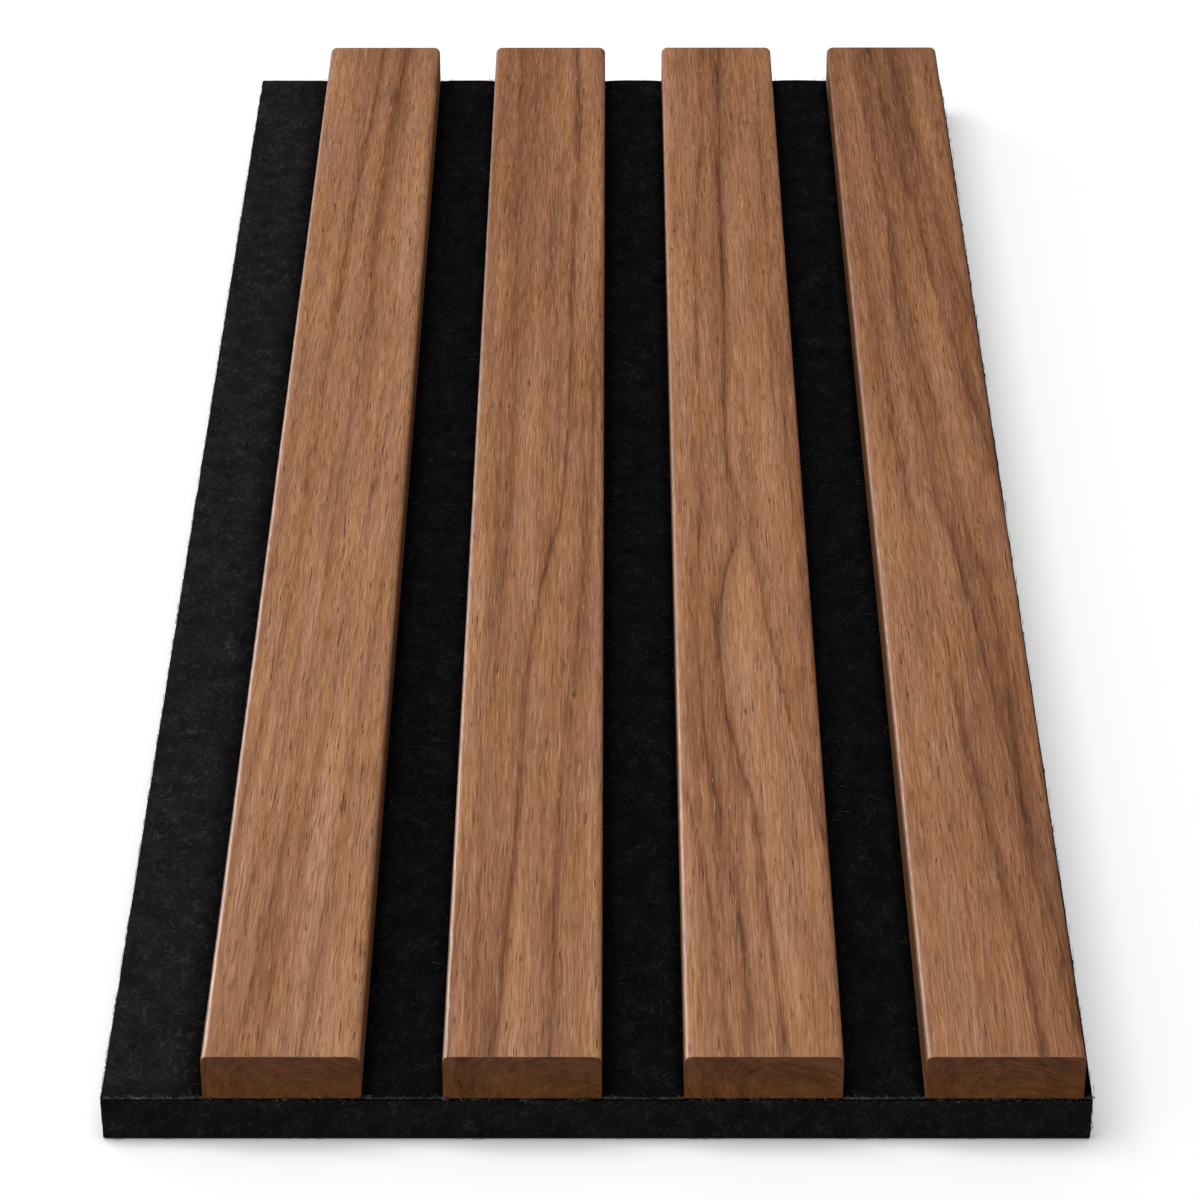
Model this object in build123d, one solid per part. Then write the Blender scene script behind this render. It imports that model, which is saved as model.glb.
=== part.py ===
"""Slatted wall panel: solid walnut slats on a thick black felt board, stapled from behind.

The panel is modelled in millimetres, lying on its back. The origin is the centre of the felt's
back face, +X runs across the slats, +Y along them, and +Z points out of the wall.
"""

import os

from build123d import *

# Felt board
PANEL_LENGTH = 400.0  # felt and slats are cut to the same length
FELT_THICKNESS = 9.0
FELT_EDGE_RADIUS = 0.5  # the cut felt is a little soft at every edge
LEFT_MARGIN = 17.4  # bare felt beside the first slat, where the next panel's edge butts
RIGHT_MARGIN = 1.8  # bare felt beside the last slat

# Slats
SLAT_COUNT = 4
SLAT_WIDTH = 27.0
SLAT_THICKNESS = 9.0
SLAT_GAP = 14.0  # groove between neighbouring slats
SLAT_EDGE_RADIUS = 1.5  # rounding of the two long front edges
SLAT_END_BREAK = 0.4  # sanded break round the sawn ends

# Staples, shot through the felt into each slat
STAPLES_PER_SLAT = 4
STAPLE_END_DISTANCE = 25.0  # from the panel's end to the first staple
STAPLE_CROWN = 8.8  # outside width across the slat
STAPLE_WIRE_WIDTH = 1.25
STAPLE_WIRE_THICKNESS = 1.05
STAPLE_BEND_RADIUS = 0.5  # inside of the two bends
STAPLE_POINT = 1.2  # length of the bevelled point on each leg
STAPLE_SINK = 0.4  # crown below the felt's back face, so that the panel lies flat
STAPLE_COVER = 3.0  # wood left between the points and the slat's front face
STAPLE_CLEARANCE = 0.03  # between the wire and the felt or wood around it

# Places worked out from the sizes above
SLAT_PITCH = SLAT_WIDTH + SLAT_GAP
SLAT_FIELD = SLAT_COUNT * SLAT_WIDTH + (SLAT_COUNT - 1) * SLAT_GAP
FELT_WIDTH = LEFT_MARGIN + SLAT_FIELD + RIGHT_MARGIN
FIRST_SLAT_X = -FELT_WIDTH / 2 + LEFT_MARGIN + SLAT_WIDTH / 2
SLAT_CENTRES = [FIRST_SLAT_X + index * SLAT_PITCH for index in range(SLAT_COUNT)]
STAPLE_SPAN = PANEL_LENGTH - 2 * STAPLE_END_DISTANCE
STAPLE_TIP = FELT_THICKNESS + SLAT_THICKNESS - STAPLE_COVER
SAME_HEIGHT = 1e-3  # tolerance for picking corners at a known height


def staple_centres(slat_x):
    """Points on the back face, in one row behind the slat at slat_x."""
    step = STAPLE_SPAN / (STAPLES_PER_SLAT - 1)
    return [(slat_x, index * step - STAPLE_SPAN / 2) for index in range(STAPLES_PER_SLAT)]


def corners_at(section, height):
    """The corners of a flat section that lie at one height."""
    return [corner for corner in section.vertices() if abs(corner.Y - height) < SAME_HEIGHT]


def staple_section():
    """The U of bent wire in the XZ plane: crown at the back, bevelled points in the slat."""
    outside = STAPLE_CROWN / 2
    inside = outside - STAPLE_WIRE_THICKNESS
    crown_top = STAPLE_SINK + STAPLE_WIRE_THICKNESS
    shoulder = STAPLE_TIP - STAPLE_POINT
    outline = Polyline(
        (-outside, STAPLE_SINK),
        (outside, STAPLE_SINK),
        (outside, STAPLE_TIP),
        (inside, shoulder),
        (inside, crown_top),
        (-inside, crown_top),
        (-inside, shoulder),
        (-outside, STAPLE_TIP),
        close=True,
    )
    section = make_face(outline)
    section = fillet(corners_at(section, crown_top), STAPLE_BEND_RADIUS)
    return fillet(corners_at(section, STAPLE_SINK), STAPLE_BEND_RADIUS + STAPLE_WIRE_THICKNESS)


def make_staple():
    """One staple at the origin, crown sunk below the back face and legs pointing out of the wall."""
    return extrude(Plane.XZ * staple_section(), STAPLE_WIRE_WIDTH / 2, both=True)


def make_staple_cut():
    """The slit that one staple leaves: the wire's own path, with its crown open at the back face."""
    path = offset(staple_section(), STAPLE_CLEARANCE, kind=Kind.INTERSECTION)
    furrow_width = STAPLE_CROWN + 2 * STAPLE_CLEARANCE
    furrow_depth = STAPLE_SINK + STAPLE_WIRE_THICKNESS
    furrow = Rectangle(furrow_width, 2 * furrow_depth)
    return extrude(Plane.XZ * (path + furrow), STAPLE_WIRE_WIDTH / 2 + STAPLE_CLEARANCE, both=True)


def make_felt(staple_cuts):
    """The felt board with softened edges and a slit for every staple."""
    board = Box(FELT_WIDTH, PANEL_LENGTH, FELT_THICKNESS, align=(Align.CENTER, Align.CENTER, Align.MIN))
    board = fillet(board.edges(), FELT_EDGE_RADIUS)
    return board - staple_cuts


def make_slat(slat_x, staple_cuts):
    """One slat: flat back on the felt, two rounded front edges, lightly broken ends."""
    section = Rectangle(SLAT_WIDTH, SLAT_THICKNESS, align=(Align.CENTER, Align.MIN))
    front_corners = section.vertices().sort_by(Axis.Y)[-2:]
    section = fillet(front_corners, SLAT_EDGE_RADIUS)
    slat = extrude(Plane.XZ * section, PANEL_LENGTH / 2, both=True)
    end_edges = [
        edge
        for face in (slat.faces().sort_by(Axis.Y)[0], slat.faces().sort_by(Axis.Y)[-1])
        for edge in face.edges()
        if edge.center().Z > SLAT_END_BREAK
    ]
    slat = chamfer(end_edges, SLAT_END_BREAK)
    return Pos(slat_x, 0, FELT_THICKNESS) * slat - staple_cuts


def main():
    os.makedirs("parts", exist_ok=True)
    staple = make_staple()
    staple_cut = make_staple_cut()
    staples = []
    all_cuts = []
    for number, slat_x in enumerate(SLAT_CENTRES, start=1):
        places = [Pos(x, y, 0) for x, y in staple_centres(slat_x)]
        cuts = [place * staple_cut for place in places]
        staples += [place * staple for place in places]
        all_cuts += cuts
        export_step(make_slat(slat_x, cuts), f"parts/slat_{number}.step")
    export_step(make_felt(all_cuts), "parts/felt_backing.step")
    export_step(Compound(children=staples), "parts/staples.step")


main()
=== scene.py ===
# %% [markdown]
# # A slatted wall panel: walnut slats on black felt
#
# The panel is four solid walnut slats on a thick black felt board, lying on its back on a white studio floor.
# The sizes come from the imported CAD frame. This lesson adds what the eye sees: the grain of each slat, the
# fibres of the felt, the staples' wire, the floor, the light and the camera.

# %% Load the frame
import math
import random
from collections import namedtuple

import bpy
import numpy as np
from mathutils import Matrix, Vector, noise


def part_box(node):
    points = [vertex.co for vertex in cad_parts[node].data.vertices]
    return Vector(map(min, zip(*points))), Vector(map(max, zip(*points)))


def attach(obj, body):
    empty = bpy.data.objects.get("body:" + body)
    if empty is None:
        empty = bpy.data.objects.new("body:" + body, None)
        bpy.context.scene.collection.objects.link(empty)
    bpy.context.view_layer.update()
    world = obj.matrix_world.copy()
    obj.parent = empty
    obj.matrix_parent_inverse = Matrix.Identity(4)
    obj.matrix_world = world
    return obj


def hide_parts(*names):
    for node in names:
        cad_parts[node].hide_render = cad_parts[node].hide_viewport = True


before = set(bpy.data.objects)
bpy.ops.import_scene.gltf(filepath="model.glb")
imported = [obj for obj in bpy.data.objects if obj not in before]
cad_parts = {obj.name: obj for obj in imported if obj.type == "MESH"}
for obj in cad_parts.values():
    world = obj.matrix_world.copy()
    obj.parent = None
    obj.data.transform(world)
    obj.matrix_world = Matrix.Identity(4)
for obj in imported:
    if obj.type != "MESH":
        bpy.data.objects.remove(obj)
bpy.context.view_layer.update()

# %% [markdown]
# ## Sizes
#
# Blender works in metres here, but a joiner thinks in millimetres, so the pieces below are laid out in
# millimetres and turned into metres when their mesh is made. Every place is read from the frame.

# %% Sizes read from the frame
MM = 0.001
SLAT_NAMES = sorted(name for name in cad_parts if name.startswith("slat_"))


def box_mm(node):
    """A CAD node's lowest and highest corners, in millimetres."""
    low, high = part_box(node)
    return np.array(low) / MM, np.array(high) / MM


felt_low, felt_high = box_mm("felt_backing")
slat_boxes = {name: box_mm(name) for name in SLAT_NAMES}
slat_middles = [(low[0] + high[0]) / 2 for low, high in slat_boxes.values()]
print("felt", felt_high - felt_low, "slats at", [round(x, 2) for x in slat_middles])

# %% [markdown]
# ## Camera
#
# A camera can be nudged by hand until a picture matches, or worked out. Here the corners of the slats and of the
# felt were matched to a pinhole camera, which gives the place, the dip and a focal length in pixels of a
# 1200 pixel square image. Blender wants that focal length in millimetres on its sensor.

# %% Camera
IMAGE_SIDE = 1200
FOCAL_PIXELS = 4268.8
SENSOR_WIDTH = 36.0
CAMERA_PLACE = Vector((2.71, -767.81, 469.66)) * MM
CAMERA_DIP = 0.5654
CAMERA_TURN = -0.0036
CAMERA_ROLL = 0.0022


def make_camera():
    data = bpy.data.cameras.new("studio_camera")
    data.sensor_width = SENSOR_WIDTH
    data.lens = FOCAL_PIXELS / IMAGE_SIDE * SENSOR_WIDTH
    camera = bpy.data.objects.new("studio_camera", data)
    turned = Matrix.Rotation(-CAMERA_TURN, 4, "Z") @ Matrix.Rotation(math.pi / 2 - CAMERA_DIP, 4, "X")
    camera.matrix_world = Matrix.Translation(CAMERA_PLACE) @ turned @ Matrix.Rotation(-CAMERA_ROLL, 4, "Z")
    bpy.context.collection.objects.link(camera)
    bpy.context.scene.camera = camera
    return data


print("lens", round(make_camera().lens, 1), "mm")
bpy.context.scene.view_settings.view_transform = "Standard"

# %% [markdown]
# ## A short way to write node trees
#
# Materials are trees of nodes. Wiring each one by hand takes many lines, so a `Recipe` adds a node, feeds its
# inputs with plain values or with other nodes' outputs, and hands back the output. Each finish below then
# reads like a list of steps.

# %% Recipe for materials
class Recipe:
    """One material's node tree. A socket or a plain value can feed any input."""

    def __init__(self, name):
        self.material = bpy.data.materials.new(name)
        self.material.use_nodes = True
        self.tree = self.material.node_tree
        self.tree.nodes.clear()

    def add(self, kind, feeds, **settings):
        node = self.tree.nodes.new(kind)
        for key, value in settings.items():
            setattr(node, key, value)
        for place, value in feeds.items():
            if isinstance(value, bpy.types.NodeSocket):
                self.tree.links.new(value, node.inputs[place])
            else:
                node.inputs[place].default_value = value
        return node

    def math(self, operation, a, b=0.0, c=0.0, clamp=False):
        return self.add("ShaderNodeMath", {0: a, 1: b, 2: c}, operation=operation, use_clamp=clamp).outputs[0]

    def total(self, *terms):
        result = terms[0]
        for term in terms[1:]:
            result = self.math("ADD", result, term)
        return result

    def times(self, value, factor):
        return self.math("MULTIPLY", value, factor)

    def swing(self, value, reach):
        """Turns 0..1 into -reach..reach."""
        return self.math("MULTIPLY", self.math("SUBTRACT", value, 0.5), 2 * reach)

    def fade(self, value, low, high):
        """0 below low, 1 above high, with a soft step between. Low may be the larger one."""
        feeds = {"Value": value, "From Min": low, "From Max": high}
        return self.add("ShaderNodeMapRange", feeds, interpolation_type="SMOOTHSTEP").outputs[0]

    def place(self, vector, scale, shift=(0.0, 0.0, 0.0)):
        feeds = {"Vector": vector, "Scale": scale, "Location": shift}
        return self.add("ShaderNodeMapping", feeds).outputs[0]

    def split(self, vector):
        return self.add("ShaderNodeSeparateXYZ", {"Vector": vector}).outputs

    def join(self, x, y, z):
        return self.add("ShaderNodeCombineXYZ", {0: x, 1: y, 2: z}).outputs[0]

    def clouds(self, vector, size, seed, detail=2.0, distortion=0.0):
        """Soft noise from 0 to 1, with lumps of the given size along each axis."""
        shifted = self.place(vector, [1 / length for length in size], (seed * 7.31, seed * 3.17, seed * 5.03))
        feeds = {"Vector": shifted, "Scale": 1.0, "Detail": detail, "Distortion": distortion}
        return self.add("ShaderNodeTexNoise", feeds).outputs["Fac"]

    def specks(self, vector, size, seed):
        """Distance to, and random colour of, the nearest of many scattered points."""
        shifted = self.place(vector, [1 / length for length in size], (seed * 5.77, seed * 2.39, seed * 8.61))
        node = self.add("ShaderNodeTexVoronoi", {"Vector": shifted, "Scale": 1.0})
        return node.outputs["Distance"], self.split(node.outputs["Color"])[0]

    def ramp(self, value, stops):
        node = self.add("ShaderNodeValToRGB", {"Fac": value})
        for index, (position, colour) in enumerate(stops):
            element = node.color_ramp.elements[index] if index < 2 else node.color_ramp.elements.new(position)
            element.position = position
            element.color = (*colour, 1.0)
        return node.outputs["Color"]

    def mix(self, factor, a, b, blend="MIX"):
        node = self.add("ShaderNodeMix", {0: factor}, data_type="RGBA", blend_type=blend)
        for place, value in ((6, a), (7, b)):
            if isinstance(value, bpy.types.NodeSocket):
                self.tree.links.new(value, node.inputs[place])
            else:
                node.inputs[place].default_value = (*value, 1.0)
        return node.outputs[2]

    def surface(self, height_mm=None, **inputs):
        """Finishes the tree with a Principled shader, bumped by a height in millimetres."""
        shader = self.add("ShaderNodeBsdfPrincipled", {name.replace("_", " "): value for name, value in inputs.items()})
        if height_mm is not None:
            bump = self.add("ShaderNodeBump", {"Height": height_mm, "Distance": MM, "Strength": 1.0})
            self.tree.links.new(bump.outputs[0], shader.inputs["Normal"])
        output = self.add("ShaderNodeOutputMaterial", {})
        self.tree.links.new(shader.outputs[0], output.inputs["Surface"])
        return self.material


def mesh_piece(name, vertices_mm, faces, material, sharp_angle=40.0):
    """A new object from points in millimetres, smooth except where faces meet sharply."""
    mesh = bpy.data.meshes.new(name)
    mesh.from_pydata((np.asarray(vertices_mm, float) * MM).tolist(), [], faces)
    mesh.polygons.foreach_set("use_smooth", [True] * len(mesh.polygons))
    mesh.set_sharp_from_angle(angle=math.radians(sharp_angle))
    mesh.materials.append(material)
    piece = bpy.data.objects.new(name, mesh)
    bpy.context.collection.objects.link(piece)
    print(name, "has", len(mesh.vertices), "points and", len(mesh.polygons), "faces")
    return piece


# %% [markdown]
# ## Floor, world and lights
#
# The panel lies on seamless white paper. One softbox stands high to the left and a little behind, so the shadow
# falls short to the right and to the front, and a lower strip light behind it draws the bright lines on the
# slats' left edges. The world fills in softly. What the camera sees of the world is plain white, through the
# Light Path node, so the background costs no extra light on the panel, while the slats' sheen sees it dim.

# %% Floor
FLOOR_SIDE = 8.0
FLOOR_DROP = 0.05 * MM
FLOOR_WHITE = 0.93
FLOOR_BOUNCE = 0.5  # how white the paper is for the light it throws back
FLOOR_IN_GLOSS = 0.06  # how white it is in the slats' sheen
FLOOR_FADE = (0.4, 1.6)  # metres from the panel over which the paper turns plain white
FLOOR_LIFT = 0.115  # what the paper adds to its own brightness for the camera


def floor_paper():
    recipe = Recipe("floor_paper")
    path = recipe.add("ShaderNodeLightPath", {}).outputs
    seen = path["Is Camera Ray"]
    grey = recipe.math("MULTIPLY_ADD", seen, FLOOR_WHITE - FLOOR_BOUNCE, FLOOR_BOUNCE)
    grey = recipe.math("MULTIPLY_ADD", path["Is Glossy Ray"], FLOOR_IN_GLOSS - FLOOR_BOUNCE, grey)
    paper = recipe.add("ShaderNodeBsdfDiffuse", {"Color": recipe.join(grey, grey, grey)})
    place = recipe.add("ShaderNodeTexCoord", {}).outputs["Object"]
    away = recipe.add("ShaderNodeVectorMath", {0: place}, operation="LENGTH").outputs["Value"]
    glow = recipe.math("MULTIPLY_ADD", recipe.fade(away, *FLOOR_FADE), 1.0 - FLOOR_LIFT, FLOOR_LIFT)
    lift = recipe.add("ShaderNodeEmission", {"Strength": recipe.times(seen, glow)})
    both = recipe.add("ShaderNodeAddShader", {0: paper.outputs[0], 1: lift.outputs[0]})
    recipe.add("ShaderNodeOutputMaterial", {"Surface": both.outputs[0]})
    return recipe.material


half = FLOOR_SIDE / 2 / MM
corners = [(-half, -half, 0), (half, -half, 0), (half, half, 0), (-half, half, 0)]
floor = mesh_piece("floor", corners, [(0, 1, 2, 3)], floor_paper())
floor.location.z = -FLOOR_DROP

# %% World
WORLD_FILL = 0.34
WORLD_IN_GLOSS = 0.05


def make_world():
    world = bpy.data.worlds.new("studio")
    bpy.context.scene.world = world
    world.use_nodes = True
    recipe = Recipe.__new__(Recipe)
    recipe.tree = world.node_tree
    recipe.tree.nodes.clear()
    path = recipe.add("ShaderNodeLightPath", {}).outputs
    dimmed = recipe.math("MULTIPLY_ADD", path["Is Glossy Ray"], WORLD_IN_GLOSS - WORLD_FILL, WORLD_FILL)
    strength = recipe.math("MAXIMUM", dimmed, path["Is Camera Ray"])
    white = recipe.add("ShaderNodeBackground", {"Color": (1, 1, 1, 1), "Strength": strength})
    recipe.add("ShaderNodeOutputWorld", {"Surface": white.outputs[0]})


make_world()

# %% Lights
Softbox = namedtuple("Softbox", "name direction distance width height watts")
SOFTBOXES = [
    Softbox("key", (-0.18, 0.03, 0.97), 2.4, 0.9, 2.4, 40.5),
    Softbox("fill", (-0.60, -0.38, 0.70), 2.0, 1.2, 1.2, 3.5),
    Softbox("edge_strip", (-0.75, 0.65, 0.10), 1.5, 0.5, 0.15, 11.0),
]


def hang(softbox):
    data = bpy.data.lights.new(softbox.name, "AREA")
    data.shape = "RECTANGLE"
    data.size, data.size_y, data.energy = softbox.width, softbox.height, softbox.watts
    light = bpy.data.objects.new(softbox.name, data)
    towards = Vector(softbox.direction).normalized()
    light.location = towards * softbox.distance
    light.rotation_euler = towards.to_track_quat("Z", "Y").to_euler()
    bpy.context.collection.objects.link(light)


for softbox in SOFTBOXES:
    hang(softbox)
print("lights:", [softbox.name for softbox in SOFTBOXES])

# %% [markdown]
# ## The felt board
#
# Needled felt is pressed from loose fibres, so its cut edges are soft and its faces are never quite flat. A box
# with a bevel would look like plastic. This board is a grid on both faces, joined by rows of points down the
# edges, and every point is moved a little. The grid is finer behind the slats' staples, where the wire pulls
# the felt in.

# %% Grid lines of the felt
FELT_EDGE = 0.4
FELT_STEP = 2.2
STAPLE_ROWS = 4
STAPLE_STEP = 0.45
staple_low, staple_high = box_mm("staples")
staple_half_wire = 0.6
staple_ys = np.linspace(staple_low[1] + staple_half_wire, staple_high[1] - staple_half_wire, STAPLE_ROWS)
staple_half_crown = slat_middles[0] - staple_low[0]


def grid_lines(low, high, fine_places, reach):
    """Places from low to high: coarse, finer near the given places, and close together at the two edges."""
    lines = list(np.linspace(low, high, int((high - low) / FELT_STEP)))
    for place in fine_places:
        lines = [line for line in lines if abs(line - place) > reach]
        lines += list(np.arange(place - reach, place + reach, STAPLE_STEP))
    lines = [line for line in lines if low + FELT_EDGE < line < high - FELT_EDGE]
    for turn in np.linspace(0, math.pi / 2, 4):
        inset = FELT_EDGE * (1 - math.cos(turn))
        lines += [low + inset, high - inset]
    return np.array(sorted(lines))


felt_xs = grid_lines(felt_low[0], felt_high[0], slat_middles, staple_half_crown + 2.5)
felt_ys = grid_lines(felt_low[1], felt_high[1], staple_ys, 3.0)
print("felt grid", len(felt_xs), "by", len(felt_ys))

# %% Shape of the felt's faces
FELT_LUMPS = 0.07
FELT_SWELL = 0.18
FELT_WAVER = 0.1  # of the two long edges, which a knife cut by hand
FELT_TUCK = 0.2  # how far the last slat's pressure draws the right edge in
STAPLE_PULL = 1.1


def edge_drop(distance):
    """How far a rounded edge has fallen at this distance from the side."""
    inside = max(FELT_EDGE - distance, 0.0)
    return FELT_EDGE - math.sqrt(max(FELT_EDGE**2 - inside**2, 0.0))


def lumps(x, y, z, size):
    return noise.fractal(Vector((x, y, z)) / size, 1.0, 2.0, 3)


def swell(x):
    """The bare felt stands a little prouder than the felt that the slats press down."""
    clear = min(abs(x - middle) for middle in slat_middles) - slat_half_width
    return FELT_SWELL * min(max(clear / 3.0, 0.0), 1.0)


def staple_dent(x, y):
    """Depth of the hollow that a staple's crown pulls into the back of the felt."""
    beside = max(min(abs(x - middle) for middle in slat_middles) - staple_half_crown, 0.0)
    behind = min(abs(y - row) for row in staple_ys)
    return STAPLE_PULL * math.exp(-((beside / 0.9) ** 2) - (behind / 1.1) ** 2)


first_low, first_high = slat_boxes[SLAT_NAMES[0]]
slat_half_width = (first_high[0] - first_low[0]) / 2


def felt_point(x, y, front):
    """One grid point of the front or back face, with its soft edges."""
    drop = min(
        edge_drop(min(x - felt_low[0], felt_high[0] - x)) + edge_drop(min(y - felt_low[1], felt_high[1] - y)),
        FELT_EDGE,
    )
    if x - felt_low[0] < FELT_EDGE:
        x += FELT_WAVER * lumps(y, 0, 0, 9.0)
    if felt_high[0] - x < FELT_EDGE:
        x -= FELT_TUCK * (1 + 2 * math.exp((y - felt_high[1]) / 5.0)) + FELT_WAVER * lumps(y, 30, 0, 9.0)
    if front:
        return (x, y, felt_high[2] - drop + swell(x) + FELT_LUMPS * (lumps(x, y, 0, 5.0) - 0.6))
    return (x, y, felt_low[2] + drop + staple_dent(x, y))


# %% Felt mesh
FELT_SIDE_ROWS = 7
FELT_SIDE_LUMPS = 0.12


def felt_mesh():
    count_x, count_y = len(felt_xs), len(felt_ys)
    points = [felt_point(x, y, True) for x in felt_xs for y in felt_ys]
    points += [felt_point(x, y, False) for x in felt_xs for y in felt_ys]
    back = count_x * count_y
    faces = []
    for i in range(count_x - 1):
        for j in range(count_y - 1):
            a = i * count_y + j
            faces.append((a, a + count_y, a + count_y + 1, a + 1))
            faces.append((back + a, back + a + 1, back + a + count_y + 1, back + a + count_y))
    rim = [i * count_y for i in range(count_x)]
    rim += [(count_x - 1) * count_y + j for j in range(1, count_y)]
    rim += [i * count_y + count_y - 1 for i in range(count_x - 2, -1, -1)]
    rim += [j for j in range(count_y - 2, 0, -1)]
    rows = [rim]
    for row in range(1, FELT_SIDE_ROWS):
        share = row / FELT_SIDE_ROWS
        rows.append(list(range(len(points), len(points) + len(rim))))
        for corner in rim:
            x, y, z = np.array(points[corner]) * (1 - share) + np.array(points[back + corner]) * share
            push = FELT_SIDE_LUMPS * lumps(x, y, z * 2, 4.0)
            outward = Vector((x if corner in side_rim else 0.0, y if corner not in side_rim else 0.0, 0)).normalized()
            points.append((x + outward.x * push, y + outward.y * push, z))
    rows.append([back + corner for corner in rim])
    for upper, lower in zip(rows, rows[1:]):
        for k in range(len(rim)):
            after = (k + 1) % len(rim)
            faces.append((upper[k], lower[k], lower[after], upper[after]))
    return points, faces


side_rim = set(range(len(felt_ys))) | set(
    range((len(felt_xs) - 1) * len(felt_ys), len(felt_xs) * len(felt_ys))
)

# %% [markdown]
# ## The felt's finish
#
# Black felt isn't one black. Under a lamp it shows a tangle of fibres, each a slightly different dark grey. The
# tangle is drawn with contour lines of warped noise: where the noise passes through one of several levels, a thin
# curly line appears, and a second noise breaks the line into short pieces. The felt deep in the grooves and at
# each slat's foot is painted darker than the open margin, as painted shade, and its curls there are painted dimmer.

# %% Felt finish
# Painted shade: the felt in the grooves takes a darker copy of the open margin's colour, standing in for the shade
# between the slats.
FELT_GROOVE_SHADE = (0.0050, 0.0050, 0.0052)
FELT_OPEN_MARGIN = (0.0116, 0.0116, 0.0118)
FELT_SIDE = (0.0135, 0.0135, 0.0137)
FELT_FIBRE = (0.038, 0.038, 0.0385)
CURL_STRETCH = 1.7  # the web is drawn out along its length while it is made


def curly_lines(recipe, where, size, levels, thickness, seed):
    """Thin curly pieces: contour lines of warped noise at several levels, with gaps."""
    field = recipe.clouds(where, (size, size * CURL_STRETCH, size), seed, detail=1.0, distortion=1.2)
    off_level = recipe.math("PINGPONG", recipe.times(field, levels), 0.5)
    gap_size = (size * 0.6, size * 0.6 * CURL_STRETCH, size * 0.6)
    gaps = recipe.fade(recipe.clouds(where, gap_size, seed + 0.5, detail=1.0), 0.42, 0.6)
    return recipe.times(recipe.fade(off_level, thickness, thickness * 0.2), gaps)


def slat_foot_shade(recipe, across):
    """Painted shade: 0 where a slat meets the felt, rising to 1 a few millimetres away from all of them."""
    clear = 1.0
    for middle in slat_middles:
        off = recipe.math("ABSOLUTE", recipe.math("SUBTRACT", across, middle))
        clear = recipe.times(recipe.fade(off, slat_half_width - 0.5, slat_half_width + 3.0), clear)
    return clear


def black_felt():
    recipe = Recipe("black_felt")
    position = recipe.add("ShaderNodeTexCoord", {}).outputs["Object"]
    where = recipe.place(position, (1 / MM,) * 3)
    tangle = recipe.total(
        recipe.times(curly_lines(recipe, where, 5.0, 8.0, 0.16, 1), 0.55),
        recipe.times(curly_lines(recipe, where, 3.4, 5.0, 0.14, 2), 0.55),
        recipe.times(curly_lines(recipe, where, 2.2, 3.0, 0.12, 3), 0.45),
    )
    across, _, up = recipe.split(where)
    first_edge = slat_middles[0] - slat_half_width
    # 1 on the open margin and 0 in the grooves; the grooves get the darker colour as painted shade.
    margin = recipe.fade(across, first_edge - 0.5, first_edge - 7.0)
    side = recipe.fade(up, felt_high[2] - 0.4, felt_high[2] - 0.7)
    # Painted shade: the top face is darkened where each slat meets the felt.
    foot_shade = recipe.math("MAXIMUM", recipe.math("MULTIPLY_ADD", slat_foot_shade(recipe, across), 0.6, 0.4), side)
    patches = recipe.clouds(where, (5, 6, 5), 4, detail=5)
    mottle = recipe.math("MULTIPLY_ADD", recipe.fade(patches, 0.3, 0.7), 0.45, 0.76)
    grit = recipe.clouds(where, (0.3, 0.3, 0.3), 5, detail=2)
    ground = recipe.mix(side, recipe.mix(margin, FELT_GROOVE_SHADE, FELT_OPEN_MARGIN), FELT_SIDE)
    # Painted shade: the curls are painted dimmer in the grooves than on the open margin and the cut sides.
    open_felt = recipe.math("MAXIMUM", margin, recipe.times(side, 1.6))
    bright = recipe.math("MULTIPLY_ADD", open_felt, 0.5, 0.25)
    shade = recipe.math("MINIMUM", recipe.times(tangle, bright), 1.0)
    colour = recipe.mix(shade, ground, FELT_FIBRE)
    # Painted shade at the slats' feet, times the felt's own random mottling.
    shade_and_mottle = recipe.times(foot_shade, mottle)
    colour = recipe.mix(1.0, colour, recipe.join(shade_and_mottle, shade_and_mottle, shade_and_mottle), "MULTIPLY")
    height = recipe.total(recipe.times(tangle, 0.05), recipe.times(grit, 0.2))
    return recipe.surface(height, Base_Color=colour, Roughness=1.0, Specular_IOR_Level=0.0)


felt = mesh_piece("felt_board", *felt_mesh(), black_felt(), sharp_angle=70.0)
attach(felt, "root")
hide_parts("felt_backing")

# %% [markdown]
# ## Loose fibres
#
# A flat texture can't show the fuzz that stands off the felt. Blender's hair would, but hair has no mesh to
# export, so each loose fibre here is a thin three-sided tube along a wandering path. It starts and ends inside
# the felt and rises a little between. Open patches get ten to twenty for each square centimetre, the cut edges,
# where the blade has freed the most fibres, get more, and a close row of short ones lines the front edge.

# %% Paths of the fibres
FIBRE_STEPS = 8
FIBRE_REACH = 0.08  # how far a fibre may stick out past the felt's box
Patch = namedtuple("Patch", "corner along across up count lift length")


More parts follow.
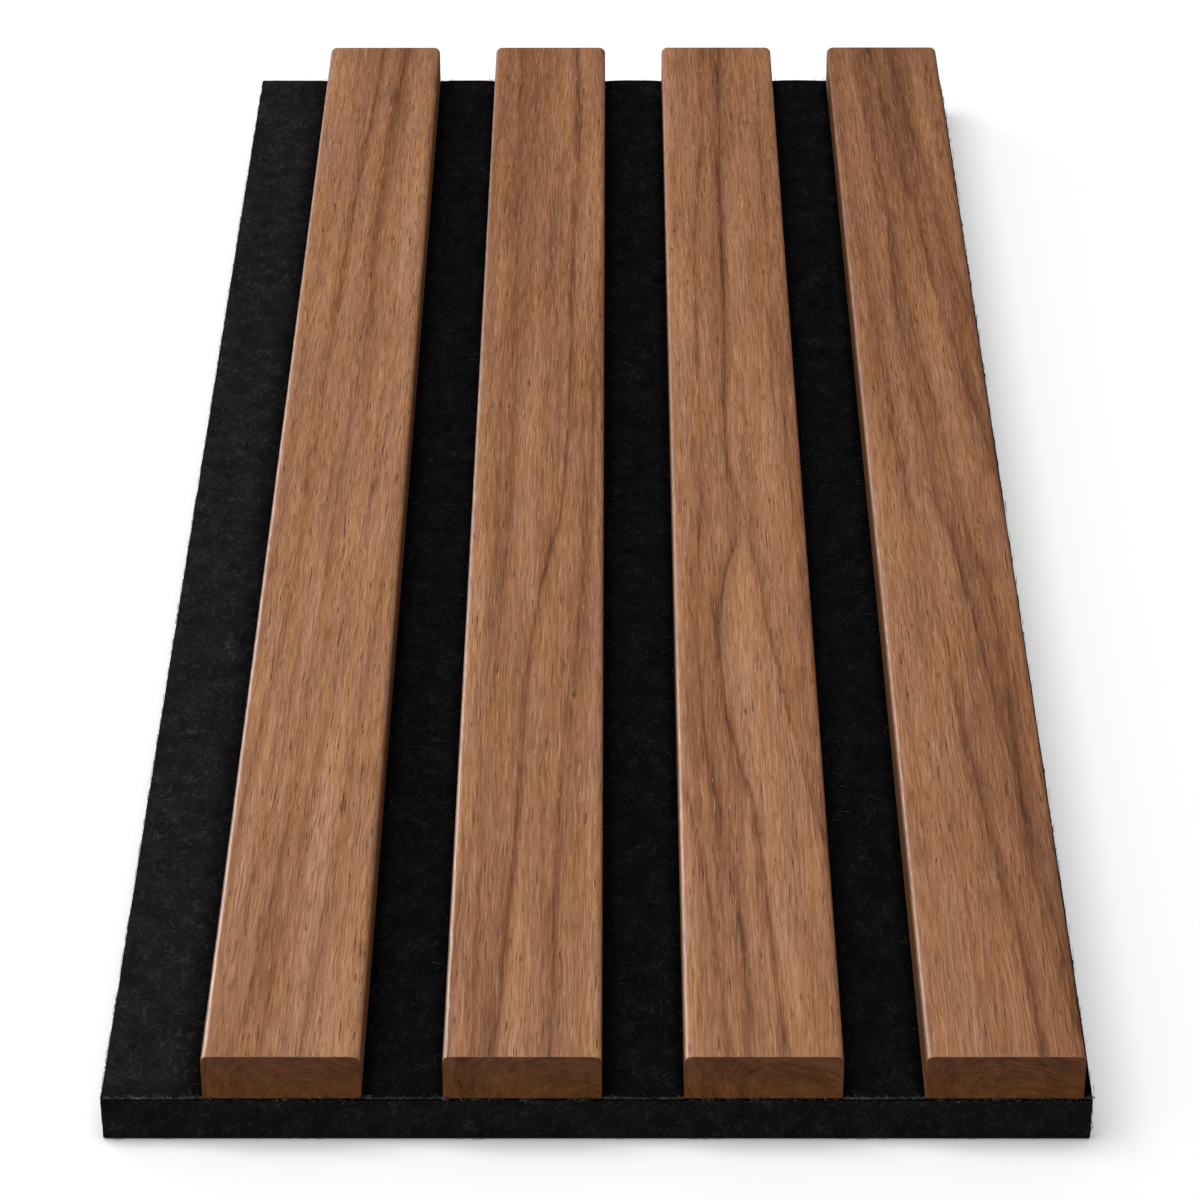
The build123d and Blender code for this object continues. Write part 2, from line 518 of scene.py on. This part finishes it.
def fibre_path(chance, patch):
    """Points of one fibre on a flat patch: a wandering line whose middle lifts off."""
    along, across, up = Vector(patch.along), Vector(patch.across), Vector(patch.up)
    spot = Vector(patch.corner) + along * chance.random() + across * chance.random()
    unit_a, unit_b = along.normalized(), across.normalized()
    heading = chance.uniform(0, 2 * math.pi)
    bend = chance.gauss(0, 0.45)
    stride = chance.uniform(*patch.length) / FIBRE_STEPS
    lift = patch.lift * chance.random() ** 2
    points = []
    for step in range(FIBRE_STEPS + 1):
        rise = lift * math.sin(math.pi * step / FIBRE_STEPS) - 0.02
        point = spot + up * rise
        point.x = min(max(point.x, felt_low[0] - FIBRE_REACH), felt_high[0] + FIBRE_REACH)
        point.y = min(max(point.y, felt_low[1] - FIBRE_REACH), felt_high[1] + FIBRE_REACH)
        point.z = max(point.z, felt_low[2] + FIBRE_REACH)
        points.append(point)
        spot = spot + (unit_a * math.cos(heading) + unit_b * math.sin(heading)) * stride
        heading += bend + chance.gauss(0, 0.25)
    return points


def tube(points, radius):
    """Corners of a three-sided tube along the points."""
    corners = []
    for index, point in enumerate(points):
        before, after = points[max(index - 1, 0)], points[min(index + 1, len(points) - 1)]
        heading = (after - before).normalized()
        side = heading.orthogonal().normalized()
        other = heading.cross(side)
        for turn in (0, 2 * math.pi / 3, 4 * math.pi / 3):
            corners.append(point + (side * math.cos(turn) + other * math.sin(turn)) * radius)
    return corners


# %% Fibre meshes
FIBRE_RADIUS = (0.02, 0.045)


def fibre_mesh(chance, patches):
    points, faces, spots = [], [], []
    total = sum(patch.count for patch in patches)
    columns = math.ceil(math.sqrt(total))
    number = 0
    for patch in patches:
        for _ in range(patch.count):
            first = len(points)
            points += tube(fibre_path(chance, patch), chance.uniform(*FIBRE_RADIUS))
            u0, v0 = number % columns + 0.1, number // columns + 0.1
            number += 1
            for step in range(FIBRE_STEPS):
                a = first + 3 * step
                u = [u0 + 0.8 * (step + ahead) / FIBRE_STEPS for ahead in (0, 1)]
                for side in range(3):
                    after = (side + 1) % 3
                    faces.append((a + side, a + after, a + 3 + after, a + 3 + side))
                    v = [v0 + 0.8 * (side + ahead) / 3 for ahead in (0, 1)]
                    spots += [(u[0], v[0]), (u[0], v[1]), (u[1], v[1]), (u[1], v[0])]
            last = first + 3 * FIBRE_STEPS
            faces += [(first + 2, first + 1, first), (last, last + 1, last + 2)]
            spots += [(u0, v0), (u0 + 0.05, v0), (u0, v0 + 0.05)] * 2
    return points, faces, np.array(spots, np.float32) / columns


FIBRE_GREYS = (0.010, 0.028, 0.08)
LINT_GREYS = (0.03, 0.12, 0.30)


def loose_fibre(name, greys):
    recipe = Recipe(name)
    position = recipe.add("ShaderNodeTexCoord", {}).outputs["Object"]
    where = recipe.place(position, (1 / MM,) * 3)
    shade = recipe.clouds(where, (1.2, 1.2, 1.2), 31, detail=1)
    colour = recipe.ramp(shade, [(at, (grey,) * 3) for at, grey in zip((0.3, 0.6, 0.75), greys)])
    return recipe.surface(Base_Color=colour, Roughness=0.9, Specular_IOR_Level=0.1)


def add_fibres(name, patches, material, seed):
    points, faces, spots = fibre_mesh(random.Random(seed), patches)
    piece = mesh_piece(name, points, faces, material)
    piece.data.uv_layers.new(name="OFBake").data.foreach_set("uv", spots.ravel())
    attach(piece, "root")


# %% Place the fibres
FELT_LONG = felt_high[1] - felt_low[1]
FELT_WIDE = felt_high[0] - felt_low[0]
FELT_TALL = felt_high[2] - felt_low[2]
UP = (0, 0, 1)
top = felt_high[2] + 0.05
left, right, near, far = felt_low[0], felt_high[0], felt_low[1], felt_high[1]
slat_sides = [(middle - slat_half_width, middle + slat_half_width) for middle in slat_middles]
margin_wide = slat_sides[0][0] - left
open_patches = [Patch((left, near, top), (0, FELT_LONG, 0), (margin_wide, 0, 0), UP, 1500, 0.3, (2.0, 8.0))]
for here, after in zip(slat_middles, slat_middles[1:]):
    groove = after - here - 2 * slat_half_width
    corner = (here + slat_half_width, near, top)
    open_patches.append(Patch(corner, (0, FELT_LONG, 0), (groove, 0, 0), UP, 550, 0.3, (2.0, 8.0)))

edge = 0.5
side_up = felt_low[2] + edge
side_tall = FELT_TALL - 2 * edge
edge_patches = [
    Patch((left, near, side_up), (FELT_WIDE, 0, 0), (0, 0, side_tall), (0, -1, 0), 500, 0.12, (1.0, 4.0)),
    Patch((left, far, side_up), (FELT_WIDE, 0, 0), (0, 0, side_tall), (0, 1, 0), 500, 0.12, (1.0, 4.0)),
    Patch((left, near, side_up), (0, FELT_LONG, 0), (0, 0, side_tall), (-1, 0, 0), 1000, 0.12, (1.0, 4.0)),
    Patch((right, near, side_up), (0, FELT_LONG, 0), (0, 0, side_tall), (1, 0, 0), 800, 0.06, (1.0, 4.0)),
    Patch((left, near, top - 0.1), (0, FELT_LONG, 0), (0.4, 0, 0), UP, 500, 0.3, (0.8, 2.5)),
]
BARE_LINT = 26  # fibres for each millimetre of the front edge
COVERED_LINT = 4
rim_patches = []
bare_from = left
for bare_to, next_from in slat_sides + [(right, right)]:
    bare = (bare_to - bare_from, 0, 0)
    corner = (bare_from, near + 0.05, top - 0.12)
    rim_patches.append(Patch(corner, bare, (0, 0.3, 0), UP, int(bare[0] * BARE_LINT), 0.3, (0.3, 1.2)))
    covered = (next_from - bare_to, 0, 0)
    corner = (bare_to, near, felt_high[2] - 0.6)
    rim_patches.append(Patch(corner, covered, (0, 0, 0.5), (0, -1, 0), int(covered[0] * COVERED_LINT), 0.12, (0.3, 1.2)))
    bare_from = next_from
fibre_material = loose_fibre("loose_fibre", FIBRE_GREYS)
add_fibres("fibres_open", open_patches, fibre_material, 41)
add_fibres("fibres_edges", edge_patches, fibre_material, 43)
add_fibres("fibres_rim", rim_patches, loose_fibre("rim_fibre", LINT_GREYS), 47)

# %% [markdown]
# ## Walnut slats: the shape
#
# Each slat is a planed strip with two rounded front edges and a light sanding round the sawn ends. A hand-run
# sander never leaves a perfect line, so the mesh is a row of sections whose rounded corners waver a little
# and carry small nicks. The section is one short function, because all the slats are milled alike.

# %% Section of a slat
SLAT_EDGE_RADIUS = 1.5
ARC_STEPS = 7
TOP_STEPS = 18
SIDE_STEPS = 5
slat_height = first_high[2] - first_low[2]

SectionPoint = namedtuple("SectionPoint", "x z out_x out_z rounded")


def slat_section():
    """Points from the back left corner over the front face to the back right corner, with outward directions."""
    wide, tall, radius = slat_half_width, slat_height, SLAT_EDGE_RADIUS
    left = [SectionPoint(-wide, z, -1, 0, 0) for z in np.linspace(0, tall - radius, SIDE_STEPS, endpoint=False)]
    turn = np.linspace(0, math.pi / 2, ARC_STEPS)
    for angle in turn:
        out_x, out_z = -math.cos(angle), math.sin(angle)
        x, z = -wide + radius + radius * out_x, tall - radius + radius * out_z
        left.append(SectionPoint(x, z, out_x, out_z, math.sin(2 * angle)))
    flat = np.linspace(-wide + radius, wide - radius, TOP_STEPS + 1)[1:-1]
    middle = [SectionPoint(x, tall, 0, 1, 0) for x in flat]
    right = [SectionPoint(-p.x, p.z, -p.out_x, p.out_z, p.rounded) for p in reversed(left)]
    return left + middle + right


section = slat_section()
print("slat section of", len(section), "points")

# %% Slat mesh
SLAT_STEP = 0.9
END_EASE = 0.25
END_EASE_STEPS = 4
EDGE_WAVER = 0.10
NICKS_PER_SLAT = 46

Nick = namedtuple("Nick", "along side length depth")


def slat_stations(low_y, high_y):
    """Pairs of place along the slat and inset of the section there."""
    eased = [
        (END_EASE * (1 - math.sin(turn)), END_EASE * (1 - math.cos(turn)))
        for turn in np.linspace(math.pi / 2, 0, END_EASE_STEPS)
    ]
    run = np.arange(low_y + 2 * END_EASE, high_y - END_EASE, SLAT_STEP)
    front = [(low_y + setback, inset) for setback, inset in eased]
    back = [(high_y - setback, inset) for setback, inset in reversed(eased)]
    return front + [(y, 0.0) for y in run] + back


def nicks_for(chance, low_y, high_y):
    return [
        Nick(
            chance.uniform(low_y, high_y),
            chance.choice((-1, 1)),
            chance.uniform(0.5, 2.2),
            chance.uniform(0.03, 0.16) * chance.random(),
        )
        for _ in range(NICKS_PER_SLAT)
    ]


def corner_wear(point, y, nicks, seed):
    """How far a rounded corner has been worn in at this place."""
    if point.rounded <= 0:
        return 0.0
    worn = EDGE_WAVER * noise.noise(Vector((seed * 9.7 + (20 if point.x > 0 else 0), y / 14.0, y / 3.7)))
    for nick in nicks:
        if nick.side * point.x > 0 and abs(y - nick.along) < 3 * nick.length:
            worn += nick.depth * math.exp(-(((y - nick.along) / nick.length) ** 2))
    return worn * point.rounded


def slat_mesh(low, high, seed):
    chance = random.Random(seed)
    nicks = nicks_for(chance, low[1], high[1])
    middle = (low[0] + high[0]) / 2
    stations = slat_stations(low[1], high[1])
    points = []
    for y, inset in stations:
        for point in section:
            back = inset + corner_wear(point, y, nicks, seed)
            points.append((middle + point.x - point.out_x * back, y, low[2] + point.z - point.out_z * back))
    around = len(section)
    faces = []
    for ring in range(len(stations) - 1):
        for k in range(around):
            a, b = ring * around + k, ring * around + (k + 1) % around
            faces.append((a, a + around, b + around, b))
    last = (len(stations) - 1) * around
    faces.append(tuple(range(around)))
    faces.append(tuple(last + k for k in reversed(range(around))))
    return points, faces, stations


# %% [markdown]
# ## A bake map for the slats
#
# When the panel is exported, its grain is baked into a square picture. A slat is fifteen times longer than
# wide, so it would waste most of that square. Cutting it into three lengths side by side, with the two ends in a
# column of their own, gives the grain about seven pixels to the millimetre.

# %% Bake map of a slat
STRIPS = 3
MAP_GAP = 2.0


def girth_places():
    """Distance round the section from its first point, to each point."""
    steps = [math.dist((a.x, a.z), (b.x, b.z)) for a, b in zip(section, section[1:])]
    return np.concatenate([[0.0], np.cumsum(steps)])


def add_bake_map(piece, stations, low, high):
    girth = girth_places()
    around, rings = len(section), len(stations)
    strip_long = (high[1] - low[1]) / STRIPS
    strip_wide = girth[-1] + MAP_GAP
    back_wide = MAP_GAP
    sheet_wide = STRIPS * (strip_wide + back_wide + MAP_GAP) + slat_height + MAP_GAP
    ends_from = STRIPS * (strip_wide + back_wide + MAP_GAP)
    layer = piece.data.uv_layers.new(name="OFBake")
    spots = []
    for ring in range(rings - 1):
        strip = min(int(ring * STRIPS / (rings - 1)), STRIPS - 1)
        first = stations[-(-strip * (rings - 1) // STRIPS)][0]
        u0 = strip * (strip_wide + back_wide + MAP_GAP)
        v = [(stations[r][0] - first + 0.5) / (strip_long + 4.0) for r in (ring, ring + 1)]
        for k in range(around):
            if k == around - 1:
                u = (u0 + strip_wide, u0 + strip_wide + back_wide)
            else:
                u = (u0 + girth[k], u0 + girth[k + 1])
            spots += [(u[0], v[0]), (u[0], v[1]), (u[1], v[1]), (u[1], v[0])]
    middle = (low[0] + high[0]) / 2
    for face_index, start in ((-2, 0.02), (-1, 0.5)):
        for corner in piece.data.polygons[face_index].vertices:
            place = piece.data.vertices[corner].co / MM
            spots.append((ends_from + place.z - low[2], start + (place.x - middle + slat_half_width) / strip_long))
    flat = np.array([(u / sheet_wide, v) for u, v in spots], np.float32)
    layer.data.foreach_set("uv", flat.ravel())


# %% [markdown]
# ## Walnut: growth lines
#
# A board's figure comes from how the saw crossed the tree's yearly layers: where they lie nearly flat, the lines
# wander and fork, and where they stand on edge they run straight. These lines give each slat its own character,
# so they are listed one by one: a few points along the slat for each, with how softly the dark fades to either
# side. Everything finer is left to noise.

# %% Growth lines of each slat
Line = namedtuple("Line", "places left right front back")
GROWTH_LINES = {
    "slat_1": [
        Line([(0, -8.5), (0.1, -4.4), (0.2, -2.7), (0.35, -1.3), (0.5, 0.2), (0.65, 3.0), (0.75, 2.4), (0.87, 3.2), (1, 6.2)],
             1.0, 1.2, 0.24, 0.28),
        Line([(0, -16), (0.2, -11), (0.3, -8.4), (0.42, -6.4), (0.55, -5.6), (0.67, -4.4), (0.8, -3.2), (0.9, -1.4), (1, 0)],
             1.4, 0.8, 0.20, 0.44),
        Line([(0, 3.4), (0.1, 5.6), (0.2, 6.8), (0.3, 9.3), (0.5, 12.5), (1, 16)], 1.0, 1.3, 0.32, 0.0),
        Line([(0, -3.6), (0.1, -1.6), (0.2, 1.2), (0.3, 3.3), (0.4, 5.0), (0.5, 8.0), (1, 13)], 0.6, 0.8, 0.26, 0.10),
        Line([(0, -10.5), (0.1, -8.6), (0.2, -6.0), (0.35, -4.0), (0.6, 0.5), (1, 3.0)], 0.7, 0.6, 0.20, 0.10),
    ],
    "slat_2": [
        Line([(0, -5), (0.1, -3.2), (0.2, -1.8), (0.34, 0), (0.42, 3.6), (0.5, 5.6), (0.7, 6.4), (0.87, 7.3), (1, 6.8)],
             1.6, 0.7, 0.40, 0.52),
        Line([(0, -8.6), (0.2, -8.0), (0.33, -7.0), (0.45, -5.6), (0.6, -5.8), (0.8, -6.6), (1, -6.4)], 1.6, 1.2, 0.24, 0.24),
        Line([(0, 4.6), (0.12, 5.2), (0.22, 6.2), (0.32, 8.6), (0.45, 10.5), (1, 15)], 2.0, 1.6, 0.40, 0.06),
        Line([(0, -13), (0.1, -11.6), (0.2, -9.6), (0.35, -8.6), (1, -10)], 0.6, 0.8, 0.24, 0.08),
    ],
    "slat_3": [
        Line([(0, 4), (0.08, 2.2), (0.17, 0.7), (0.24, -3.0), (0.31, -4.9), (0.37, -3.9), (0.43, -0.4), (0.5, -2.0),
              (0.65, -1.1), (0.82, -0.8), (1, 0.8)], 1.4, 0.6, 0.56, 0.26),
        Line([(0, 20), (0.16, 12.4), (0.2, 10.3), (0.26, 7.6), (0.33, 4.9), (0.4, 2.6), (0.46, 0.0), (0.5, -2.0),
              (0.65, -1.1), (0.82, -0.8), (1, 0.8)], 0.4, 1.2, 0.36, 0.10),
        Line([(0, -1.8), (0.07, -2.6), (0.18, -6.2), (0.27, -8.8), (0.37, -9.0), (0.46, -7.4), (0.6, -7.2), (0.75, -6.8),
              (0.87, -4.6), (1, -3.6)], 1.1, 0.8, 0.38, 0.24),
        Line([(0, -6), (0.07, -7.4), (0.13, -9.2), (0.18, -11.5), (0.25, -15), (1, -19)], 0.9, 0.6, 0.40, 0.0),
        Line([(0, 16), (0.3, 13), (0.5, 11), (0.65, 9.6), (0.85, 9.5), (1, 10)], 0.8, 1.2, 0.16, 0.24),
    ],
    "slat_4": [
        Line([(0, 6), (0.08, 5.0), (0.13, 3.0), (0.21, 0.8), (0.27, -1.2), (0.4, -4.2), (0.5, -7.2), (0.65, -9.5), (1, -14)],
             1.2, 1.8, 0.44, 0.06),
        Line([(0, 14), (0.15, 9.4), (0.28, 6.0), (0.4, 2.2), (0.46, -0.5), (0.52, -1.2), (0.6, -3.2), (0.7, -3.6), (0.8, -4.6),
              (1, -7)], 0.8, 2.8, 0.36, 0.18),
        Line([(0, 13.5), (0.1, 9.6), (0.18, 8.6), (0.3, 8.9), (0.37, 8.0), (0.42, 5.6), (0.47, 4.0), (0.55, 2.0), (0.62, -0.4),
              (0.7, -1.8), (1, -6)], 1.6, 0.8, 0.36, 0.14),
        Line([(0, 19), (0.4, 15), (0.55, 10.2), (0.66, 5.8), (0.73, 4.2), (0.8, 2.2), (0.9, -0.8), (1, -3.6)], 1.0, 3.2, 0.24, 0.28),
        Line([(0, 20), (0.6, 14), (0.75, 9.0), (0.83, 6.9), (0.87, 5.4), (0.95, 3.0), (1, 1.5)], 2.0, 1.4, 0.12, 0.26),
    ],
}
LINE_REACH = 20.0  # millimetres either side that a line's places may have


def line_across(recipe, share, line):
    """The line's place across the slat, for a share of the slat's length."""
    node = recipe.add("ShaderNodeFloatCurve", {"Value": share})
    curve = node.mapping.curves[0]
    spots = [(at, (across + LINE_REACH) / (2 * LINE_REACH)) for at, across in line.places]
    curve.points[0].location, curve.points[1].location = spots[0], spots[-1]
    for at, height in spots[1:-1]:
        curve.points.new(at, height)
    node.mapping.update()
    return recipe.swing(node.outputs[0], LINE_REACH)


def line_shade(recipe, across, share, line):
    """Dark on the line, with a thin core and a softer halo that fades to each side at its own rate."""
    off = recipe.math("SUBTRACT", across, line_across(recipe, share, line))
    faded = recipe.math("MAXIMUM", recipe.times(off, 1 / line.right), recipe.times(off, -1 / line.left))
    halo = recipe.math("EXPONENT", recipe.times(faded, -1.0))
    core = recipe.math("EXPONENT", recipe.times(faded, -4.0))
    dark = recipe.math("MULTIPLY_ADD", share, line.back - line.front, line.front)
    return recipe.times(recipe.math("MULTIPLY_ADD", core, 0.36, recipe.times(halo, 0.66)), dark)


# %% [markdown]
# ## Walnut: fibres, pores and end grain
#
# Wood is a bundle of tubes along the slat. Cut lengthwise they show as streaks and short dark pores; cut across,
# at the sawn ends, they show as dots in curved rings and the wood drinks more oil and turns darker. One solid
# pattern in the slat's own millimetres gives both, stretched along the slat, so the grain runs over the
# rounded edges without a seam.

# %% Where the grain runs
LEAN = 0.7  # how far the growth layers move sideways for each millimetre down
# The far field is painted shade: how much darker a slat is made towards its far end, standing in for the light falling
# off along it.
Character = namedtuple("Character", "slope tone far pith seed")
CHARACTERS = {
    "slat_1": Character(0.014, 0.315, 0.05, (1.0, 18.0), 1),
    "slat_2": Character(0.004, 0.34, 0.08, (6.0, 19.0), 2),
    "slat_3": Character(-0.004, 0.32, 0.06, (2.0, 15.0), 3),
    "slat_4": Character(-0.012, 0.38, 0.09, (-1.0, 16.0), 4),
}
Grain = namedtuple("Grain", "across down share fibre seed")


def grain_of(recipe, who, low, high):
    """Millimetres across, along and down the slat, and a fibre space that leans and wanders a little."""
    position = recipe.add("ShaderNodeTexCoord", {}).outputs["Object"]
    middle = (-(low[0] + high[0]) / 2, -(low[1] + high[1]) / 2, -high[2])
    placed = recipe.place(position, (1 / MM,) * 3, middle)
    across, along, down = recipe.split(placed)
    share = recipe.math("MULTIPLY_ADD", along, 1 / (high[1] - low[1]), 0.5)
    layer = recipe.math("MULTIPLY_ADD", down, LEAN, across)
    wander = recipe.swing(recipe.clouds(placed, (5.0, 24.0, 5.0), who.seed), 0.7)
    tremble = recipe.swing(recipe.clouds(placed, (1.4, 5.0, 1.4), who.seed + 0.5), 0.22)
    sloped = recipe.total(layer, recipe.times(along, -who.slope), wander, tremble)
    return Grain(layer, down, share, recipe.join(sloped, along, down), who.seed * 10)


# %% Colour of the planed face
WOOD_TONES = [
    (0.00, (0.524, 0.284, 0.163)),
    (0.30, (0.364, 0.169, 0.083)),
    (0.55, (0.246, 0.102, 0.045)),
    (0.80, (0.148, 0.055, 0.0235)),
    (1.00, (0.091, 0.033, 0.014)),
]
ORANGE_TINT = (1.04, 1.00, 0.86)
PINK_TINT = (0.98, 0.98, 1.05)


def face_colour(recipe, grain, name):
    seed = grain.seed
    bands = recipe.clouds(grain.fibre, (5.5, 170, 5.5), seed + 1, detail=2)
    streaks = recipe.clouds(grain.fibre, (1.3, 46, 1.3), seed + 2, detail=3)
    threads = recipe.clouds(grain.fibre, (0.33, 15, 0.33), seed + 3, detail=3)
    hairs = recipe.clouds(grain.fibre, (0.18, 3.6, 0.18), seed + 4, detail=1)
    frays = recipe.fade(recipe.clouds(grain.fibre, (0.27, 8, 0.27), seed + 4.5, detail=2), 0.33, 0.67)
    feather = recipe.total(grain.across, recipe.swing(streaks, 1.0), recipe.swing(threads, 0.7))
    lines = recipe.total(*[line_shade(recipe, feather, grain.share, line) for line in GROWTH_LINES[name]])
    broken = recipe.math("MULTIPLY_ADD", recipe.clouds(grain.fibre, (2.2, 60, 2.2), seed + 5), 1.1, 0.45)
    tone = recipe.total(
        CHARACTERS[name].tone,
        recipe.swing(bands, 0.30),
        recipe.swing(streaks, 0.16),
        recipe.swing(threads, 0.26),
        recipe.swing(frays, 0.12),
        recipe.swing(hairs, 0.12),
        recipe.times(lines, broken),
        # Painted shade: darker towards the far end of the slat.
        recipe.times(recipe.fade(grain.share, 0.35, 1.0), CHARACTERS[name].far),
    )
    pinkish = recipe.fade(recipe.clouds(grain.fibre, (2.6, 34, 2.6), seed + 6), 0.32, 0.68)
    tint = recipe.mix(pinkish, ORANGE_TINT, PINK_TINT)
    return recipe.mix(1.0, recipe.ramp(tone, WOOD_TONES), tint, "MULTIPLY"), threads


# %% Pores and flecks
PORE_COLOUR = (0.085, 0.034, 0.016)
# The pale fleck colour is partly real sanded scratches and partly painted glints.
FLECK_GLINT_COLOUR = (0.62, 0.37, 0.22)


def pores_of(recipe, grain):
    """Short dark slits of uneven length, thicker in some streaks than in others."""
    crowd = recipe.swing(recipe.clouds(grain.fibre, (3.0, 40, 3.0), grain.seed + 7), 0.05)
    fine = recipe.math("ADD", recipe.clouds(grain.fibre, (0.20, 4.5, 0.20), grain.seed + 8, detail=1), crowd)
    coarse = recipe.math("ADD", recipe.clouds(grain.fibre, (0.34, 8.5, 0.34), grain.seed + 9, detail=1), crowd)
    return recipe.math("MAXIMUM", recipe.times(recipe.fade(fine, 0.66, 0.72), 0.8), recipe.fade(coarse, 0.685, 0.735))


def fleck_glints_of(recipe, grain):
    """Sparse pale scratches where a fibre has lifted and been sanded through, partly painted glints on raised fibres.
    """
    spread = recipe.clouds(grain.fibre, (0.22, 6.5, 0.22), grain.seed + 9.5, detail=1, distortion=0.5)
    return recipe.fade(spread, 0.715, 0.775)


# %% Walnut of the long faces
def walnut(name, low, high):
    recipe = Recipe("walnut_" + name)
    grain = grain_of(recipe, CHARACTERS[name], low, high)
    colour, threads = face_colour(recipe, grain, name)
    pores, fleck_glints = pores_of(recipe, grain), fleck_glints_of(recipe, grain)
    colour = recipe.mix(recipe.times(pores, 0.8), colour, PORE_COLOUR)
    # Pale flecks: partly scratches, partly painted glints.
    colour = recipe.mix(recipe.times(fleck_glints, 0.7), colour, FLECK_GLINT_COLOUR)
    height = recipe.total(recipe.times(pores, -0.012), recipe.times(threads, 0.012), recipe.times(fleck_glints, 0.012))
    rough = recipe.total(0.42, recipe.swing(threads, 0.06), recipe.times(pores, -0.1))
    return recipe.surface(height, Base_Color=colour, Roughness=rough, Specular_IOR_Level=0.4)


# %% Walnut of the sawn ends
END_TONES = [
    (0.00, (0.282, 0.118, 0.046)),
    (0.50, (0.173, 0.068, 0.0265)),
    (1.00, (0.081, 0.031, 0.0125)),
]
RING_RADIUS = 14.0  # millimetres, of the rings that cross a slat's end
END_COOL = (0.98, 1.00, 1.20)
END_WARM = (1.16, 1.08, 0.80)


def end_walnut(name, low, high):
    who = CHARACTERS[name]
    recipe = Recipe("end_" + name)
    grain = grain_of(recipe, who, low, high)
    pith_across, pith_down = who.pith
    off_pith = recipe.math("SUBTRACT", grain.across, pith_across)
    above_pith = recipe.math("ADD", grain.down, pith_down)
    squared = recipe.total(recipe.math("POWER", off_pith, 2.0), recipe.math("POWER", above_pith, 2.0))
    radius = recipe.math("SQRT", squared)
    wavy = recipe.math("ADD", radius, recipe.swing(recipe.clouds(grain.fibre, (4, 60, 4), grain.seed + 1), 0.9))
    rings = recipe.clouds(recipe.join(wavy, 0.0, 0.0), (0.8, 1, 1), grain.seed + 2, detail=3)
    dots = recipe.clouds(grain.fibre, (0.3, 30, 0.3), grain.seed + 3, detail=2)
    patches = recipe.clouds(grain.fibre, (3.5, 60, 3.5), grain.seed + 4, detail=2)
    turn = recipe.times(recipe.math("ARCTAN2", off_pith, above_pith), RING_RADIUS)
    strokes = recipe.clouds(recipe.join(wavy, turn, 0.0), (0.35, 2.4, 1), grain.seed + 6, detail=2)
    tone = recipe.total(
        0.5,
        recipe.swing(rings, 0.36),
        recipe.swing(strokes, 0.42),
        recipe.swing(dots, 0.26),
        recipe.swing(patches, 0.45),
    )
    pores = recipe.fade(recipe.clouds(grain.fibre, (0.24, 20, 0.24), grain.seed + 5, detail=0), 0.64, 0.74)
    tint = recipe.mix(recipe.fade(grain.down, -0.5, -slat_height), END_COOL, END_WARM)
    colour = recipe.mix(1.0, recipe.ramp(tone, END_TONES), tint, "MULTIPLY")
    colour = recipe.mix(recipe.times(pores, 0.6), colour, PORE_COLOUR)
    rough = recipe.math("MULTIPLY_ADD", dots, 0.2, 0.6)
    return recipe.surface(recipe.times(dots, 0.08), Base_Color=colour, Roughness=rough, Specular_IOR_Level=0.05)


# %% Make the slats
def end_faces(mesh):
    """The two sawn ends, with the eased rims beside them but not above them."""
    around = len(section)
    rim_rings = END_EASE_STEPS - 1
    rim = [ring * around + k for ring in range(rim_rings) for k in range(around)]
    count = len(mesh.polygons) - 2
    rim += [count - 1 - index for index in rim]
    return [mesh.polygons[i] for i in rim if abs(mesh.polygons[i].normal.z) < 0.6] + list(mesh.polygons[-2:])


for name, (low, high) in slat_boxes.items():
    points, faces, stations = slat_mesh(low, high, CHARACTERS[name].seed)
    slat = mesh_piece("walnut_" + name, points, faces, walnut(name, low, high))
    slat.data.materials.append(end_walnut(name, low, high))
    for end_face in end_faces(slat.data):
        end_face.material_index = 1
    add_bake_map(slat, stations, low, high)
    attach(slat, "root")
    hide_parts(name)

# %% [markdown]
# ## Staples
#
# The slats are held by wire staples shot through the felt, and only their crowns show, on the back. Their CAD
# solids are already right, so they only get a finish: zinc-coated wire, drawn lengthwise, with dull patches.

# %% Staple wire
def zinc_wire():
    recipe = Recipe("zinc_wire")
    position = recipe.add("ShaderNodeTexCoord", {}).outputs["Object"]
    where = recipe.place(position, (1 / MM,) * 3)
    drawn = recipe.clouds(where, (4.0, 0.12, 4.0), 21, detail=2)
    dull = recipe.clouds(where, (1.1, 1.1, 1.1), 22, detail=3)
    colour = recipe.ramp(recipe.total(recipe.times(drawn, 0.5), recipe.times(dull, 0.5)), [
        (0.25, (0.36, 0.36, 0.35)),
        (0.75, (0.66, 0.66, 0.65)),
    ])
    rough = recipe.total(0.22, recipe.times(dull, 0.3))
    return recipe.surface(recipe.times(drawn, 0.01), Base_Color=colour, Roughness=rough, Metallic=1.0)


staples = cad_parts["staples"]
staples.data.materials.clear()
staples.data.materials.append(zinc_wire())
print("staples finished")
